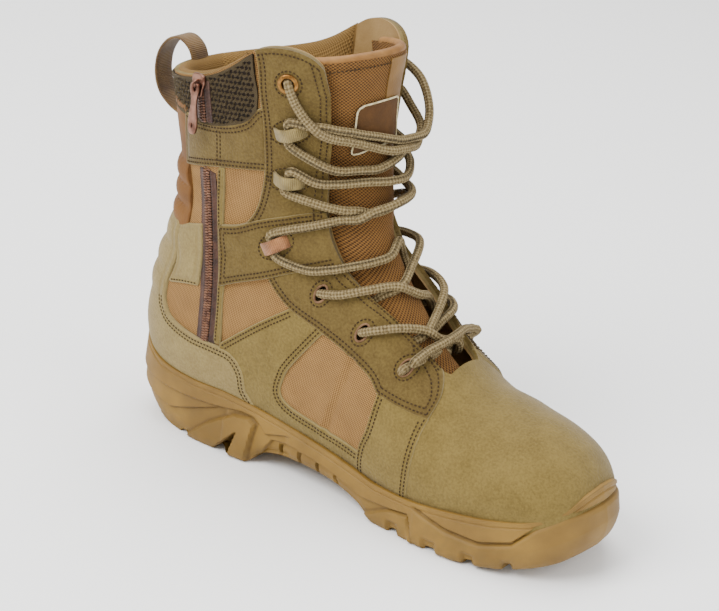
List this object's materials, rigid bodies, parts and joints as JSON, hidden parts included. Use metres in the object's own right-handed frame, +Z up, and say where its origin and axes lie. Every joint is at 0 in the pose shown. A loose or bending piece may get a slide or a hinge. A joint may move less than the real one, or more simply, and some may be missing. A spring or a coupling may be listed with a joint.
{
  "type": "combat boot",
  "caption": "Side-zip combat boot for a left foot: laced suede and woven upper on a lugged cup sole, with padded tongue, zip and pull loop.",
  "frame": {"origin": "under the middle of the boot's bounding box, on the plane that the treads stand on", "axes": "+X towards the toe, +Y towards the outer side of the foot, +Z up"},
  "size_m": [0.3135, 0.1073, 0.24],
  "materials": {
    "sole_rubber": "matt moulded rubber, golden tan",
    "suede": "napped suede leather, olive sand",
    "lining_cloth": "woven lining, warm tan",
    "woven_nylon": "coarse plain-woven nylon, peach tan",
    "lace_cord": "round braided lace, beige olive",
    "webbing": "flat woven webbing, tan",
    "zip_tape": "dark brown zip tape with moulded teeth",
    "bronze_metal": "aged bronze lacquer, satin"
  },
  "bodies": {
    "boot": {"sole": "sole_rubber", "upper": "suede", "insole": "lining_cloth", "tongue": "woven_nylon", "eyelet_outer": "bronze_metal", "eyelet_inner": "bronze_metal", "lace_loop_outer_1": "webbing", "lace_loop_outer_2": "webbing", "lace_loop_outer_3": "webbing", "lace_loop_inner_1": "webbing", "lace_loop_inner_2": "webbing", "lace_loop_inner_3": "webbing", "lace_crossing_1": "lace_cord", "lace_crossing_2": "lace_cord", "lace_crossing_3": "lace_cord", "lace_crossing_4": "lace_cord", "lace_crossing_5": "lace_cord", "lace_crossing_6": "lace_cord", "lace_bar": "lace_cord", "zip_chain": "zip_tape", "zip_slider": "bronze_metal", "pull_loop": "webbing"},
    "zip_pull": {"zip_pull_tab": "bronze_metal"}
  },
  "joints": [
    {"name": "pull_tab_swing", "type": "hinge", "parent": "boot", "child": "zip_pull", "pos_m": [-0.09034, -0.05248, 0.209], "axis": [-0.9841, 0.1774, 0], "range_deg": [-4, 150]}
  ]
}
